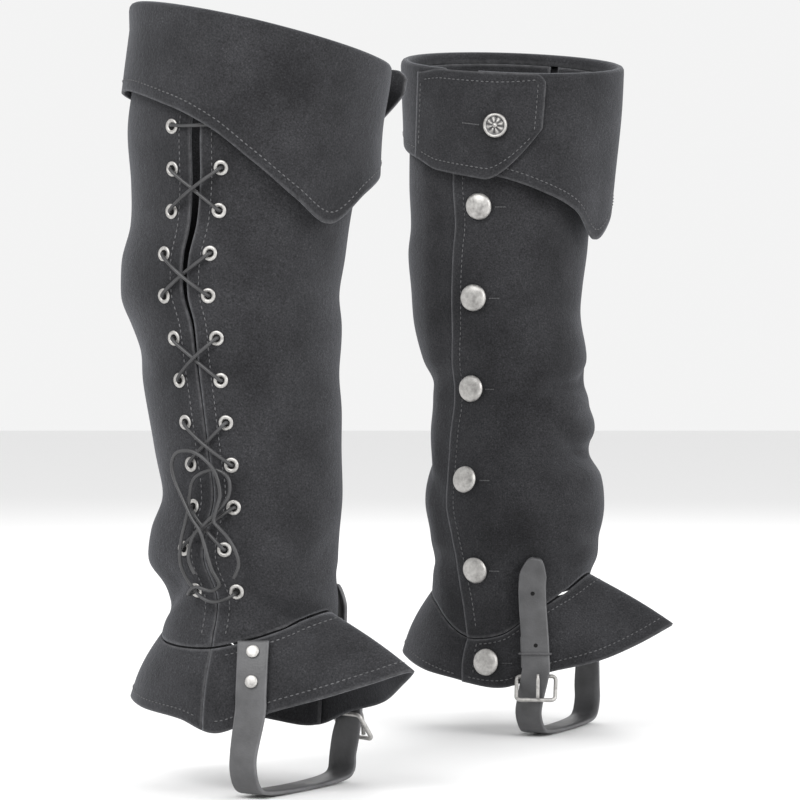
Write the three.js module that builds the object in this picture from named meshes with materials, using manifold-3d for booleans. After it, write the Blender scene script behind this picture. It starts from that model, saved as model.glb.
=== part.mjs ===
// A pair of suede boot covers, standing open as they are worn: right cover nearer, left cover behind it.
// Millimetres, +Z up, +X to the right. The origin is midway between the two calves.
// Each cover has its own directions: forward to the toe, lateral to the outer side of the leg.
// Angles go round the leg: 0 front, 90 lateral, 180 back, 270 (or -90) medial.

import * as THREE from 'three';
import Module from 'manifold-3d';
import { mergeVertices } from 'three/addons/utils/BufferGeometryUtils.js';

const wasm = await Module();
wasm.setup();

// ---- Driving dimensions -------------------------------------------------------------------------------

const WALL = 2.0;
const SEAM_GAP = 0.3;
const ROUNDNESS = 0.86;          // half width of a leg section over its half length
const PLACKET_LAP = 34;          // how far the back panel runs on under the front panel, in degrees
const TUCK = 3.2;                // how far the lapped edge lies inside the panel over it
const EYELET_ROWS = 12;
const EYELET_TOP = 169;
const EYELET_PITCH = 26.0;
const EYELET_FROM_EDGE = 14;
const EYELET_HOLE = 3.5;
const SLIT_TOP_GAP = 7;
const SLIT_FOOT_GAP = 1;
const LACE_RADIUS = 1.15;
const BUTTON_RADIUS = 9.5;
const BUTTON_RISE = 4.2;
const BUTTON_TOP = 132;
const BUTTON_PITCH = 64.6;
const BUTTON_COUNT = 6;
const BUTTON_FROM_EDGE = 17;     // degrees forward of the placket edge
const STRAP_WIDTH = 19.5;
const STRAP_THICK = 2.8;
const STRAP_ANGLE = 57;          // where the stirrup strap leaves the foot piece, lateral and medial

// Leg sections from the top down: centre forward of the origin, half length, angle of the placket edge.
const RIGHT_LEG = [
  { z: 232, centre: 18, half: 80, placket: 258 },
  { z: 200, centre: 12, half: 80, placket: 258 },
  { z: 170, centre: 5, half: 78, placket: 259 },
  { z: 135, centre: 3, half: 74, placket: 260 },
  { z: 110, centre: 0, half: 72, placket: 260 },
  { z: 88, centre: -5, half: 73.5, placket: 260 },
  { z: 66, centre: -6, half: 72, placket: 257 },
  { z: 48, centre: -2, half: 69, placket: 255 },
  { z: 25, centre: 0, half: 66.5, placket: 249 },
  { z: 0, centre: 3, half: 64.5, placket: 246 },
  { z: -30, centre: 6, half: 61.5, placket: 242 },
  { z: -60, centre: 9, half: 59.5, placket: 240 },
  { z: -82, centre: 4, half: 62, placket: 240 },
  { z: -98, centre: 3, half: 62, placket: 242 },
  { z: -122, centre: 10, half: 56, placket: 246 },
  { z: -150, centre: 7, half: 58, placket: 252 },
  { z: -185, centre: 7, half: 62, placket: 258 },
];
const LEFT_LEG = [
  { z: 240, centre: 6, half: 75, placket: 257 },
  { z: 200, centre: 3, half: 73, placket: 257 },
  { z: 150, centre: -2, half: 69, placket: 258 },
  { z: 120, centre: -4, half: 66, placket: 260 },
  { z: 100, centre: -6, half: 66, placket: 260 },
  { z: 75, centre: -6.5, half: 63.5, placket: 258 },
  { z: 48, centre: -5, half: 62.5, placket: 256 },
  { z: 22, centre: 0, half: 60.5, placket: 249 },
  { z: 5, centre: 2, half: 57, placket: 246 },
  { z: -8, centre: 6, half: 59, placket: 243 },
  { z: -27, centre: 6, half: 60.5, placket: 241 },
  { z: -45, centre: 4, half: 59, placket: 240 },
  { z: -60, centre: 7, half: 64, placket: 240 },
  { z: -81, centre: 7.5, half: 66, placket: 240 },
  { z: -101, centre: 8, half: 63, placket: 241 },
  { z: -118, centre: 7.5, half: 61, placket: 244 },
  { z: -132, centre: 5, half: 58, placket: 248 },
  { z: -150, centre: 5, half: 59, placket: 253 },
  { z: -185, centre: 7, half: 62, placket: 258 },
];

// Seam between leg and foot piece, by angle.
const ANKLE_SEAM = [
  { angle: 0, z: -130 },
  { angle: 30, z: -137 },
  { angle: 60, z: -146 },
  { angle: 90, z: -152 },
  { angle: 135, z: -150 },
  { angle: 180, z: -143 },
  { angle: 220, z: -152 },
  { angle: 250, z: -173 },
  { angle: 280, z: -172 },
  { angle: 303, z: -157 },
  { angle: 330, z: -142 },
];

// Hem of the foot piece, by the angle of the leg above it: where it goes, forward, lateral and down.
const FOOT_HEM = [
  { angle: 0, forward: 129, lateral: 0, z: -164 },
  { angle: 12, forward: 110, lateral: 15, z: -171 },
  { angle: 28, forward: 86, lateral: 33, z: -180 },
  { angle: 50, forward: 52, lateral: 48, z: -191 },
  { angle: 75, forward: 20, lateral: 55, z: -204 },
  { angle: 100, forward: -10, lateral: 52, z: -197 },
  { angle: 130, forward: -45, lateral: 42, z: -193 },
  { angle: 160, forward: -71, lateral: 20, z: -189 },
  { angle: 180, forward: -79, lateral: 0, z: -188 },
  { angle: 200, forward: -71, lateral: -20, z: -192 },
  { angle: 230, forward: -45, lateral: -42, z: -200 },
  { angle: 260, forward: -8, lateral: -52, z: -207 },
  { angle: 285, forward: 22, lateral: -55, z: -209 },
  { angle: 310, forward: 52, lateral: -48, z: -198 },
  { angle: 332, forward: 86, lateral: -33, z: -189 },
  { angle: 348, forward: 110, lateral: -15, z: -177 },
];

// Hem of the turned-down cuff, by angle: its height and how far it hangs out from the leg.
const CUFF_HEM = [
  { angle: 4, z: 109, out: 13 },
  { angle: 24, z: 124, out: 13 },
  { angle: 45, z: 146, out: 11 },
  { angle: 65, z: 166, out: 8 },
  { angle: 90, z: 181, out: 6 },
  { angle: 130, z: 193, out: 5 },
  { angle: 180, z: 188, out: 4.5 },
  { angle: 225, z: 171, out: 4.5 },
  { angle: 265, z: 160, out: 6 },
  { angle: 300, z: 151, out: 9 },
  { angle: 325, z: 140, out: 14 },
  { angle: 345, z: 128, out: 15 },
];

const COVERS = [
  {
    name: 'right', place: [-88.5, -165], yaw: 32, outward: 1, leg: RIGHT_LEG, slit: 84, cuffTurn: 13,
    rim: { mean: 229, forward: -16, lateral: 11.5 }, tabEnd: 308, tabStand: 20,
  },
  {
    name: 'left', place: [88.5, 165], yaw: 24, outward: -1, leg: LEFT_LEG, slit: 84, cuffTurn: -13,
    rim: { mean: 238, forward: -7.5, lateral: 10.5 }, tabEnd: 307, tabStand: 0,
  },
];

// ---- Materials ----------------------------------------------------------------------------------------

const finish = (color, roughness, metalness) => new THREE.MeshStandardMaterial({ color, roughness, metalness });
const SUEDE = finish(0x2b2b2d, 0.95, 0);
const LACE_LEATHER = finish(0x3a3a3c, 0.5, 0);
const STRAP_LEATHER = finish(0x4c4c50, 0.55, 0);
const PEWTER = finish(0x9a9a98, 0.45, 0.9);

// ---- Tables and places --------------------------------------------------------------------------------

const radians = THREE.MathUtils.degToRad;
const smooth = (x, from, to) => THREE.MathUtils.smoothstep(x, from, to);

// Value of a column between rows, through a smooth curve. A table by angle closes on itself.
function column(table, key, at, name) {
  const closed = key === 'angle';
  const rows = [...table].sort((p, q) => p[key] - q[key]);
  const count = rows.length;
  let x = at;
  if (closed) x = rows[0][key] + THREE.MathUtils.euclideanModulo(at - rows[0][key], 360);
  const row = (i) => {
    if (!closed) return rows[THREE.MathUtils.clamp(i, 0, count - 1)];
    const turn = Math.floor(i / count);
    const base = rows[i - turn * count];
    return { ...base, angle: base.angle + 360 * turn };
  };
  let i = 0;
  while (i < count - (closed ? 1 : 2) && x > row(i + 1)[key]) i += 1;
  const [p0, p1, p2, p3] = [row(i - 1), row(i), row(i + 1), row(i + 2)];
  const t = THREE.MathUtils.clamp((x - p1[key]) / (p2[key] - p1[key]), 0, 1);
  const span = p2[key] - p1[key];
  const slope = (a, b) => (b[key] === a[key] ? 0 : ((b[name] - a[name]) / (b[key] - a[key])) * span);
  const m1 = slope(p0, p2);
  const m2 = slope(p1, p3);
  const [t2, t3] = [t * t, t * t * t];
  return (2 * t3 - 3 * t2 + 1) * p1[name] + (t3 - 2 * t2 + t) * m1
    + (3 * t2 - 2 * t3) * p2[name] + (t3 - t2) * m2;
}

function place(cover, forward, lateral, z) {
  const yaw = radians(cover.yaw);
  const side = cover.outward;
  return new THREE.Vector3(
    cover.place[0] + forward * Math.cos(yaw) - side * lateral * Math.sin(yaw),
    cover.place[1] - forward * Math.sin(yaw) - side * lateral * Math.cos(yaw),
    z,
  );
}

const rimHeight = (cover, angle) => cover.rim.mean
  + cover.rim.forward * Math.cos(radians(angle)) + cover.rim.lateral * Math.sin(radians(angle));
const seamHeight = (angle) => column(ANKLE_SEAM, 'angle', angle, 'z');
const placketEdge = (cover, z) => column(cover.leg, 'z', z, 'placket');

// A point of the leg's outer face, moved out by a distance.
function legPoint(cover, angle, z, out) {
  const half = column(cover.leg, 'z', z, 'half');
  const centre = column(cover.leg, 'z', z, 'centre');
  const turn = radians(angle);
  return place(cover, centre + (half + out) * Math.cos(turn), (half * ROUNDNESS + out) * Math.sin(turn), z);
}

// A point of the foot piece's outer face: down is 0 at the ankle seam and 1 at the hem.
function footPoint(cover, angle, down, out) {
  const seam = seamHeight(angle);
  const half = column(cover.leg, 'z', seam, 'half');
  const centre = column(cover.leg, 'z', seam, 'centre');
  const turn = radians(angle);
  const hem = ['forward', 'lateral', 'z'].map((name) => column(FOOT_HEM, 'angle', angle, name));
  const swell = 3 * Math.sin(Math.PI * down);
  const forward = THREE.MathUtils.lerp(centre + half * Math.cos(turn), hem[0], down);
  const lateral = THREE.MathUtils.lerp(half * ROUNDNESS * Math.sin(turn), hem[1], down);
  const z = THREE.MathUtils.lerp(seam, hem[2], down);
  return place(cover, forward + (out + swell) * Math.cos(turn), lateral + (out + swell) * Math.sin(turn), z);
}

// A point of leg or foot at a height, moved out.
function onCover(cover, angle, z, out) {
  const seam = seamHeight(angle);
  if (z >= seam) return legPoint(cover, angle, z, out);
  const hem = column(FOOT_HEM, 'angle', angle, 'z');
  return footPoint(cover, angle, (seam - z) / (seam - hem), out);
}

// ---- Shapes -------------------------------------------------------------------------------------------

// One closed body from a grid of sections: each section is a closed ring of points.
function loft(sections) {
  const ring = sections[0].length;
  const position = sections.flat().flatMap((p) => [p.x, p.y, p.z]);
  const index = [];
  for (let s = 0; s + 1 < sections.length; s += 1) {
    for (let i = 0; i < ring; i += 1) {
      const [a, b] = [s * ring + i, s * ring + ((i + 1) % ring)];
      index.push(a, b, a + ring, b, b + ring, a + ring);
    }
  }
  const last = (sections.length - 1) * ring;
  for (let i = 1; i + 1 < ring; i += 1) {
    index.push(0, i + 1, i);
    index.push(last, last + i, last + i + 1);
  }
  return { position, index };
}

// Turns points and triangles into a geometry whose faces point out.
function closedGeometry({ position, index }) {
  const corner = (i) => new THREE.Vector3().fromArray(position, index[i] * 3);
  let volume = 0;
  for (let i = 0; i < index.length; i += 3) {
    volume += corner(i).dot(corner(i + 1).cross(corner(i + 2)));
  }
  const facing = [...index];
  if (volume < 0) facing.reverse();
  const geometry = new THREE.BufferGeometry();
  geometry.setAttribute('position', new THREE.Float32BufferAttribute(position, 3));
  geometry.setIndex(facing);
  return geometry;
}

// A wall of even thickness behind a grid of points of its outer face, row by row.
// outward is 1 where the columns go round with rising angle on a right cover, and -1 on a left one.
function wall(points, thickness, outward) {
  const rows = points.length;
  const columns = points[0].length;
  const clamp = THREE.MathUtils.clamp;
  const pick = (r, c) => points[clamp(r, 0, rows - 1)][clamp(c, 0, columns - 1)];
  const position = points.flat().flatMap((p) => p.toArray());
  points.forEach((row, r) => row.forEach((p, c) => {
    const down = pick(r + 1, c).clone().sub(pick(r - 1, c));
    const across = pick(r, c + 1).clone().sub(pick(r, c - 1));
    const inward = down.cross(across).setLength(thickness * outward);
    position.push(...p.clone().add(inward).toArray());
  }));
  const index = [];
  const back = rows * columns;
  const at = (r, c) => r * columns + c;
  for (let r = 0; r + 1 < rows; r += 1) {
    for (let c = 0; c + 1 < columns; c += 1) {
      const [a, b, d, e] = [at(r, c), at(r, c + 1), at(r + 1, c), at(r + 1, c + 1)];
      index.push(a, b, e, a, e, d);
      index.push(back + a, back + e, back + b, back + a, back + d, back + e);
    }
  }
  const rim = [];
  for (let c = 0; c < columns; c += 1) rim.push(at(0, c));
  for (let r = 1; r < rows; r += 1) rim.push(at(r, columns - 1));
  for (let c = columns - 2; c >= 0; c -= 1) rim.push(at(rows - 1, c));
  for (let r = rows - 2; r > 0; r -= 1) rim.push(at(r, 0));
  rim.forEach((a, i) => {
    const b = rim[(i + 1) % rim.length];
    index.push(b, a, back + a, b, back + a, back + b);
  });
  return closedGeometry({ position, index });
}

// Rows of a panel from top to hem: a point for each angle and step down.
function panelRows(angles, steps, point) {
  return spread(0, 1, steps).map((down) => angles.map((angle) => point(angle, down)));
}

function spread(from, to, count) {
  return Array.from({ length: count + 1 }, (_, i) => THREE.MathUtils.lerp(from, to, i / count));
}

// A curve whose steps fall on the chosen points, so that a tube keeps every one of them.
class PointCurve extends THREE.CatmullRomCurve3 {
  getUtoTmapping(u) {
    return u;
  }
}

function tube(points, radius, steps, sides) {
  const section = new THREE.Shape(spread(0, 360, sides).slice(0, -1).map((angle) => new THREE.Vector2(
    radius * Math.cos(radians(angle)),
    radius * Math.sin(radians(angle)),
  )));
  const extrudePath = new PointCurve(points, false, 'centripetal');
  return new THREE.ExtrudeGeometry(section, { steps, bevelEnabled: false, extrudePath });
}

// A flat band along a path: each row has a point, the way its face looks and its width.
function band(rows, thickness) {
  return closedGeometry(loft(rows.map((row, i) => {
    const before = rows[Math.max(i - 1, 0)].point;
    const after = rows[Math.min(i + 1, rows.length - 1)].point;
    const across = after.clone().sub(before).cross(row.face).setLength(row.width / 2);
    const lift = row.face.clone().setLength(thickness / 2);
    const corner = (side, up) => row.point.clone().addScaledVector(across, side).addScaledVector(lift, up);
    return [corner(-1, -1), corner(1, -1), corner(1, 1), corner(-1, 1)];
  })));
}

// Solid for joining and cutting, and back again.
function solid(geometry) {
  const plain = geometry.clone();
  plain.deleteAttribute('normal');
  plain.deleteAttribute('uv');
  const merged = mergeVertices(plain, 1e-4);
  return new wasm.Manifold(new wasm.Mesh({
    numProp: 3,
    vertProperties: new Float32Array(merged.attributes.position.array),
    triVerts: new Uint32Array(merged.index.array),
  }));
}

function geometryOf(manifold) {
  const { vertProperties, triVerts } = manifold.getMesh();
  const geometry = new THREE.BufferGeometry();
  geometry.setAttribute('position', new THREE.Float32BufferAttribute(vertProperties, 3));
  geometry.setIndex(Array.from(triVerts));
  return geometry;
}

const pair = new THREE.Group();

function add(name, geometry, material) {
  const mesh = new THREE.Mesh(geometry, material);
  mesh.name = name;
  pair.add(mesh);
  return mesh;
}

// The way a cover's face looks at an angle and height.
function facing(cover, angle, z) {
  const step = 1;
  const round = onCover(cover, angle + step, z, 0).sub(onCover(cover, angle - step, z, 0));
  const up = onCover(cover, angle, z + step, 0).sub(onCover(cover, angle, z - step, 0));
  return round.cross(up).multiplyScalar(-cover.outward).normalize();
}

// ---- Leg panels ---------------------------------------------------------------------------------------

const eyeletHeight = (row) => EYELET_TOP - row * EYELET_PITCH;

function slitHalfGap(z) {
  const low = eyeletHeight(EYELET_ROWS);
  return THREE.MathUtils.lerp(SLIT_FOOT_GAP, SLIT_TOP_GAP, smooth(z, low + 120, EYELET_TOP)) / 2;
}

// Degrees round the leg for a length of cloth near the slit.
const degreesFor = (cover, z, length) => THREE.MathUtils.radToDeg(length / column(cover.leg, 'z', z, 'half'));

function legHeight(cover, angle, down) {
  const top = rimHeight(cover, angle) - 9;
  return THREE.MathUtils.lerp(top, seamHeight(angle) + SEAM_GAP / 2, down);
}

// Height of a leg point first, then its angle, because the edges of the panels lean with the height.
function legPanel(cover, from, to, columns, tuck) {
  const steps = 15;
  const lanes = spread(0, 1, columns);
  const rows = [];
  for (let r = 0; r <= steps; r += 1) {
    rows.push(lanes.map((lane) => {
      const guess = THREE.MathUtils.lerp(from(0), to(0), lane);
      const z = legHeight(cover, guess, r / steps);
      const angle = THREE.MathUtils.lerp(from(z), to(z), lane);
      return legPoint(cover, angle, legHeight(cover, angle, r / steps), tuck(angle, z));
    }));
  }
  return wall(rows, WALL, cover.outward);
}

function eyeletHoles(cover, side) {
  let holes = null;
  for (let row = 0; row < EYELET_ROWS; row += 1) {
    const z = eyeletHeight(row);
    const angle = cover.slit + side * degreesFor(cover, z, slitHalfGap(z) + EYELET_FROM_EDGE);
    const drill = new THREE.CylinderGeometry(EYELET_HOLE, EYELET_HOLE, 8, 8);
    drill.applyQuaternion(new THREE.Quaternion().setFromUnitVectors(
      new THREE.Vector3(0, 1, 0),
      facing(cover, angle, z),
    ));
    const at = legPoint(cover, angle, z, -WALL / 2);
    drill.translate(at.x, at.y, at.z);
    holes = holes ? holes.add(solid(drill)) : solid(drill);
  }
  return holes;
}

function addLeg(cover) {
  const slitEdge = (side) => (z) => cover.slit + side * degreesFor(cover, z, slitHalfGap(z));
  const frontEdge = (z) => placketEdge(cover, z) - 360;
  const tuckFront = () => 0;
  const front = legPanel(cover, frontEdge, slitEdge(-1), 15, tuckFront);
  add(`${cover.name}_leg_front`, geometryOf(solid(front).subtract(eyeletHoles(cover, -1))), SUEDE);
  const backEnd = (z) => placketEdge(cover, z) + PLACKET_LAP;
  const tuckBack = (angle, z) => -TUCK * smooth(angle, placketEdge(cover, z) - 26, placketEdge(cover, z) - 6);
  const back = legPanel(cover, slitEdge(1), backEnd, 17, tuckBack);
  add(`${cover.name}_leg_back`, geometryOf(solid(back).subtract(eyeletHoles(cover, 1))), SUEDE);
}

// ---- Foot pieces --------------------------------------------------------------------------------------

function addFoot(cover) {
  const sideSeam = cover.slit;
  const edge = placketEdge(cover, seamHeight(placketEdge(cover, -160)));
  const down = (step) => THREE.MathUtils.lerp(0.024, 1, step);
  const frontAngles = [...spread(edge - 360, -24, 6), ...spread(-14, 14, 4), ...spread(24, sideSeam - 0.2, 4)];
  add(`${cover.name}_foot_front`, wall(panelRows(frontAngles, 3, (angle, step) => footPoint(
    cover,
    angle,
    down(step),
    0,
  )), WALL, cover.outward), SUEDE);
  const heelAngles = spread(sideSeam + 0.2, edge + PLACKET_LAP, 13);
  add(`${cover.name}_foot_heel`, wall(panelRows(heelAngles, 3, (angle, step) => footPoint(
    cover,
    angle,
    down(step),
    -TUCK * smooth(angle, edge - 26, edge - 6),
  )), WALL, cover.outward), SUEDE);
}

// ---- Turned-down cuff and its tab ---------------------------------------------------------------------

// From the sewn edge inside, over the roll and down outside: out from the leg's face, and below the rim.
const CUFF_ROLL = [
  { out: 0, below: 8.5 },
  { out: 1, below: 2.2 },
  { out: 4.0, below: 0 },
  { out: 7.0, below: 1.8 },
  { out: 7.6, below: 5 },
];

function cuffHem(cover, angle, name) {
  const turn = cover.cuffTurn * Math.cos(radians(angle / 2)) ** 2;
  return column(CUFF_HEM, 'angle', angle - turn, name);
}

function cuffOut(cover, angle, z) {
  const start = rimHeight(cover, angle) - 5;
  const fall = THREE.MathUtils.clamp((start - z) / (start - cuffHem(cover, angle, 'z')), 0, 1.1);
  return THREE.MathUtils.lerp(7.6, cuffHem(cover, angle, 'out') + 1, fall);
}

function addCuff(cover) {
  const falls = [0.33, 0.67, 1];
  const angles = spread(-88, 252, 27);
  const rows = [
    ...CUFF_ROLL.map(({ out, below }) => angles.map((angle) => legPoint(
      cover,
      angle,
      rimHeight(cover, angle) - below,
      out,
    ))),
    ...falls.map((fall) => angles.map((angle) => {
      const top = rimHeight(cover, angle) - 5;
      const z = THREE.MathUtils.lerp(top, cuffHem(cover, angle, 'z'), fall);
      return legPoint(cover, angle, z, cuffOut(cover, angle, z));
    })),
  ];
  add(`${cover.name}_cuff`, wall(rows, WALL, cover.outward), SUEDE);
}

const TAB_START = 236;
const TAB_BUTTON = 284;

// The tab lies over the cuff from the back; its free end has two rounded corners, the lower one larger.
function tabPoint(cover, angle, down, out) {
  const along = (angle - TAB_START) / (cover.tabEnd - TAB_START);
  const near = smooth(along, 0, 0.25);
  const top = rimHeight(cover, angle) - 1 - 4 * (1 - near) - 9 * smooth(along, 0.9, 1.04) ** 2;
  const bottom = cuffHem(cover, angle, 'z') - 5 * near + 1 + 46 * Math.max(along - 0.62, 0) ** 1.6 / 0.38 ** 1.6;
  const z = THREE.MathUtils.lerp(top, bottom, down);
  const stand = cover.tabStand * smooth(angle, TAB_BUTTON - 8, cover.tabEnd + 12) ** 1.3;
  const lie = Math.max(cuffOut(cover, angle, z), 7.6) + WALL + 0.9;
  return legPoint(cover, angle, z, lie + stand + out);
}

function addTab(cover) {
  add(`${cover.name}_cuff_tab`, wall(panelRows(spread(TAB_START, cover.tabEnd, 11), 4, (angle, down) => (
    tabPoint(cover, angle, down, 0)
  )), WALL, cover.outward), SUEDE);
}

// ---- Buttons and rivets -------------------------------------------------------------------------------

// A dome with a flat back, standing on a face.
function addDome(name, at, face, radius, rise, sides) {
  const profile = [[0, 0], [radius * 0.86, 0], [radius, rise * 0.28], [radius * 0.72, rise * 0.78], [0, rise]];
  const geometry = new THREE.LatheGeometry(profile.map(([x, y]) => new THREE.Vector2(x, y)), sides);
  const dome = add(name, geometry, PEWTER);
  dome.position.copy(at);
  dome.quaternion.setFromUnitVectors(new THREE.Vector3(0, 1, 0), face);
}

const standOff = (radius, half) => (radius * radius) / (2 * half) + 1.5;

function addButtons(cover) {
  for (let i = 0; i < BUTTON_COUNT; i += 1) {
    const z = BUTTON_TOP - i * BUTTON_PITCH;
    const angle = placketEdge(cover, Math.max(z, -175)) + BUTTON_FROM_EDGE - 360;
    const lift = standOff(BUTTON_RADIUS * 0.86, 48);
    addDome(
      `${cover.name}_button_${i + 1}`,
      onCover(cover, angle, z, lift),
      facing(cover, angle, z),
      BUTTON_RADIUS,
      BUTTON_RISE,
      12,
    );
  }
  const round = tabPoint(cover, TAB_BUTTON + 1, 0.5, 0).sub(tabPoint(cover, TAB_BUTTON - 1, 0.5, 0));
  const fall = tabPoint(cover, TAB_BUTTON, 0.45, 0).sub(tabPoint(cover, TAB_BUTTON, 0.55, 0));
  const face = round.cross(fall).multiplyScalar(-cover.outward).normalize();
  const at = tabPoint(cover, TAB_BUTTON, 0.5, 0).addScaledVector(face, 0.9);
  addDome(`${cover.name}_cuff_button`, at, face, BUTTON_RADIUS * 0.9, BUTTON_RISE, 12);
}

// ---- Stirrup strap and buckle -------------------------------------------------------------------------

// Points of a strap lying on the cover, going down one side from a height to another.
function lying(cover, angle, from, to, count, out) {
  return spread(from, to, count).map((z) => ({
    point: onCover(cover, angle, z, out),
    face: facing(cover, angle, z),
    width: STRAP_WIDTH,
  }));
}

function hanging(cover, forward, lateral, z, faceLateral, faceUp) {
  const base = place(cover, 0, 0, 0);
  const face = place(cover, 0, faceLateral, 0).sub(base);
  face.z = faceUp;
  return { point: place(cover, forward, lateral, z), face: face.normalize(), width: STRAP_WIDTH };
}

const STRAP_OVER_FOOT = STRAP_THICK / 2 + 1.6;
const STRAP_OVER_CHAPE = 7.4;
const CHAPE_FOOT = -194;

function addStrap(cover) {
  const loop = [
    [42, 57, -214, 1, 0],
    [42, 57.5, -226, 1, -0.2],
    [42, 53, -236, 0.7, -0.7],
    [42, 43, -240, 0.15, -1],
    [42, 15, -241.5, 0, -1],
    [42, -15, -241.5, 0, -1],
    [42, -43, -240, -0.15, -1],
    [42, -52.5, -236, -0.7, -0.7],
    [41, -56, -226, -1, -0.2],
    [43, -56.5, -214, -1, 0],
  ].map(([forward, lateral, z, faceLateral, faceUp]) => hanging(cover, forward, lateral, z, faceLateral, faceUp));
  const tip = lying(cover, -STRAP_ANGLE, -196, -117, 9, STRAP_OVER_CHAPE);
  tip.at(-1).width = STRAP_WIDTH * 0.35;
  tip.at(-2).width = STRAP_WIDTH;
  add(`${cover.name}_strap`, band([
    ...lying(cover, STRAP_ANGLE, -147, -190, 4, STRAP_OVER_FOOT),
    ...loop,
    ...tip,
  ], STRAP_THICK), STRAP_LEATHER);
  [-153, -171].forEach((z, i) => addDome(
    `${cover.name}_rivet_${i + 1}`,
    onCover(cover, STRAP_ANGLE, z, STRAP_OVER_FOOT + STRAP_THICK / 2 + 0.5),
    facing(cover, STRAP_ANGLE, z),
    4,
    1.8,
    8,
  ));
}

// Rectangular ring of one thickness, standing square to its face.
function ringPlate(width, height, bar, depth) {
  const outline = (x, y) => [[-x, -y], [x, -y], [x, y], [-x, y]].map(([u, v]) => new THREE.Vector2(u, v));
  const shape = new THREE.Shape(outline(width / 2, height / 2));
  shape.holes.push(new THREE.Path(outline(width / 2 - bar, height / 2 - bar).reverse()));
  const geometry = new THREE.ExtrudeGeometry(shape, { depth, steps: 1, bevelEnabled: false });
  return geometry.translate(0, 0, -depth / 2);
}

function addBuckle(cover) {
  const chape = lying(cover, -STRAP_ANGLE, -172, CHAPE_FOOT, 4, 3.9);
  add(`${cover.name}_chape`, band(chape, 2), STRAP_LEATHER);
  const face = facing(cover, -STRAP_ANGLE, -190);
  const up = new THREE.Vector3(0, 0, 1).addScaledVector(face, -face.z).normalize();
  const across = up.clone().cross(face);
  const upright = new THREE.Matrix4().makeBasis(across, up, face);
  const keeper = add(`${cover.name}_keeper`, ringPlate(STRAP_WIDTH + 4, 10.6, 1.4, 3.4), STRAP_LEATHER);
  const flat = new THREE.Matrix4().makeBasis(across, face.clone().negate(), up);
  keeper.quaternion.setFromRotationMatrix(flat);
  keeper.position.copy(onCover(cover, -STRAP_ANGLE, -184, 5.9));
  const frameMesh = add(`${cover.name}_buckle_frame`, ringPlate(STRAP_WIDTH + 11, 22, 3, 2.6), PEWTER);
  frameMesh.quaternion.setFromRotationMatrix(upright);
  frameMesh.rotateX(radians(-30));
  frameMesh.position.copy(onCover(cover, -STRAP_ANGLE, -200, 7.6).add(new THREE.Vector3(0, 0, -8)));
  const prong = add(`${cover.name}_buckle_prong`, new THREE.BoxGeometry(2.4, 17, 1.8), PEWTER);
  prong.quaternion.setFromRotationMatrix(upright);
  prong.rotateX(radians(-6));
  prong.position.copy(onCover(cover, -STRAP_ANGLE, -206, 14.4));
}

// ---- Lace ---------------------------------------------------------------------------------------------

// A point of the lace: across the slit (positive to the back), at a height, out from the leg.
function lacePoint(cover, across, z, out) {
  return legPoint(cover, cover.slit + degreesFor(cover, z, across), z, out);
}

const eyeletAcross = (z) => slitHalfGap(z) + EYELET_FROM_EDGE;

// One half of the lace, from beside the top bar's middle down to the last row: it runs inside from an
// odd row to the next, then comes out and crosses to the other side. One half crosses under the other.
function laceHalf(cover, startSide, crossOut) {
  const points = [];
  let side = startSide;
  const top = eyeletHeight(0);
  points.push(lacePoint(cover, side * (eyeletAcross(top) - 9), top, 2.2));
  points.push(lacePoint(cover, side * (eyeletAcross(top) - 0.8), top + 0.8, 1.9));
  for (let row = 0; row < EYELET_ROWS; row += 1) {
    const z = eyeletHeight(row);
    const across = side * eyeletAcross(z);
    const goesIn = row % 2 === 0;
    if (goesIn) {
      points.push(lacePoint(cover, across, z - 1.6, -5));
    } else {
      points.push(lacePoint(cover, across, z + 1.6, -5));
      if (row < EYELET_ROWS - 1) {
        const next = eyeletHeight(row + 1);
        points.push(lacePoint(cover, across - side * 0.6, z - 0.7, 2.6));
        points.push(lacePoint(cover, 0, (z + next) / 2, crossOut));
        side = -side;
        points.push(lacePoint(cover, side * (eyeletAcross(next) - 0.6), next + 0.7, 2.6));
      } else {
        points.push(lacePoint(cover, across - side * 0.8, z - 0.8, 2));
      }
    }
  }
  return points;
}

function addLace(cover) {
  const left = laceHalf(cover, 1, 2.4);
  const right = laceHalf(cover, -1, 5.2);
  const points = [...left.reverse(), ...right];
  add(`${cover.name}_lace`, tube(points, LACE_RADIUS, points.length - 1, 6), LACE_LEATHER);
}

// Free ends of the lace, tied in a bow over the last rows: across the slit (positive to the back), height.
const BOW_FRONT_END = [
  [-9, -121], [-3, -123], [3, -122], [8, -118], [11.5, -108], [11.5, -98], [11, -85], [11, -70],
  [11.6, -58], [8, -48], [0, -43], [-8, -42], [-13.5, -47], [-13, -57], [-8, -66], [-2, -75],
  [3.4, -83], [5.5, -96], [4.5, -106],
];
const BOW_BACK_END = [
  [6, -114], [-3, -116], [-9, -112], [-8.5, -103], [-7.5, -94], [-2, -80], [6, -71], [14.5, -59],
  [19.5, -48], [20, -39], [15.5, -32], [8, -30], [1.4, -32], [-5.4, -39], [-8, -47], [-8.8, -57],
  [-7.5, -66], [-8, -73], [-12, -77], [-18, -83], [-23.5, -92], [-24, -100], [-18.5, -108],
];
const BOW_OUT = { front: 7.9, back: 10.7 };
const LACE_EXIT_OUT = 2.8;

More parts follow.
